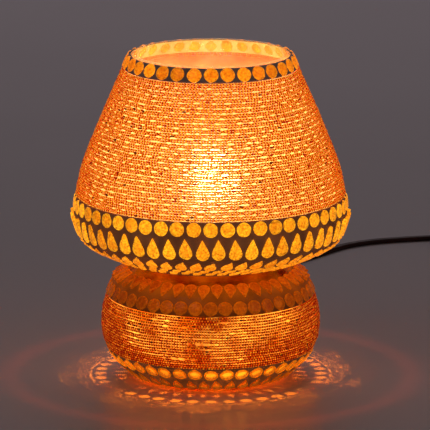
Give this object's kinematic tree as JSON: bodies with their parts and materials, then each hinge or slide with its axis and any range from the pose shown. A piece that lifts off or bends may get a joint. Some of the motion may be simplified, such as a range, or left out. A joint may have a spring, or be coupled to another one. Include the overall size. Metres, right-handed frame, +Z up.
{
  "type": "table lamp",
  "caption": "Small glass table lamp: a wide shade and a round base in one blown piece, covered with strung glass beads and rows of cut glass in dark grout, lit from inside.",
  "frame": {"origin": "on the table, under the middle of the foot ring", "axes": "+Z up along the axis of the glass, +Y to the back, where the cord leaves the base"},
  "size_m": [0.3316, 0.4542, 0.1988],
  "materials": {
    "body_glass": "gloss",
    "grout": "matt",
    "amber_glass": "gloss",
    "bead_glass": "gloss",
    "zinc_steel": "satin",
    "rubber": "matt",
    "holder_plastic": "satin",
    "insulator": "matt",
    "brass": "satin",
    "nickel": "satin",
    "bulb_glass": "gloss",
    "stem_glass": "gloss",
    "filament": "matt",
    "black_glass": "gloss",
    "cord_pvc": "satin",
    "tie_plastic": "matt",
    "switch_plastic": "satin",
    "rocker_plastic": "gloss"
  },
  "bodies": {
    "lamp": {"glass_body": "body_glass", "lip_grout": "grout", "lip_discs": "amber_glass", "shade_bead_strands": "bead_glass", "skirt_grout": "grout", "skirt_discs": "amber_glass", "skirt_drops": "amber_glass", "underside_grout": "grout", "underside_drops": "amber_glass", "underside_diamonds_outer": "amber_glass", "underside_diamonds_inner": "amber_glass", "shoulder_grout": "grout", "shoulder_drops": "amber_glass", "shoulder_discs": "amber_glass", "base_bead_strands": "bead_glass", "foot_grout": "grout", "foot_discs": "amber_glass", "foot_drops": "amber_glass", "spider": "zinc_steel", "spider_sleeves": "rubber", "ring_nut_upper": "holder_plastic", "ring_nut_lower": "holder_plastic", "holder_skirt": "holder_plastic", "holder_cap": "holder_plastic", "holder_insulator": "insulator", "screw_shell": "brass", "centre_contact": "brass", "terminal_screws": "brass", "cord_clamp": "holder_plastic", "cord_grommet": "rubber", "inner_lead": "cord_pvc", "cord_lamp_side": "cord_pvc", "cord_table_side": "cord_pvc", "cord_coil": "cord_pvc", "cord_plug_side": "cord_pvc", "coil_tie": "tie_plastic", "switch_bottom": "switch_plastic", "switch_top": "switch_plastic", "switch_screws": "nickel", "plug_body": "switch_plastic", "plug_relief": "rubber", "plug_pins": "nickel"},
    "bulb_tip": {"bulb_insulator": "black_glass", "bulb_contact": "nickel"},
    "bulb": {"bulb_cap": "nickel", "bulb_envelope": "bulb_glass", "bulb_stem": "stem_glass", "bulb_supports": "nickel", "bulb_filament": "filament"},
    "rocker": {"switch_rocker": "rocker_plastic"}
  },
  "joints": [
    {"name": "bulb_rise", "type": "slide", "parent": "lamp", "child": "bulb_tip", "axis": [0, 0, 1], "range_m": [0, 0.0142]},
    {"name": "bulb_turn", "type": "hinge", "parent": "bulb_tip", "child": "bulb", "pos_m": [0, 0, 0.0675], "axis": [0, 0, 1], "range_deg": [0, 1800]},
    {"name": "switch_tip", "type": "hinge", "parent": "lamp", "child": "rocker", "pos_m": [0.01, 0.218, 0.0128], "axis": [0.9397, -0.342, 0], "range_deg": [-24, 0]}
  ],
  "couplings": [
    {"joint": "bulb_rise", "follows": "bulb_turn", "m_per_rad": 0.00044882}
  ]
}
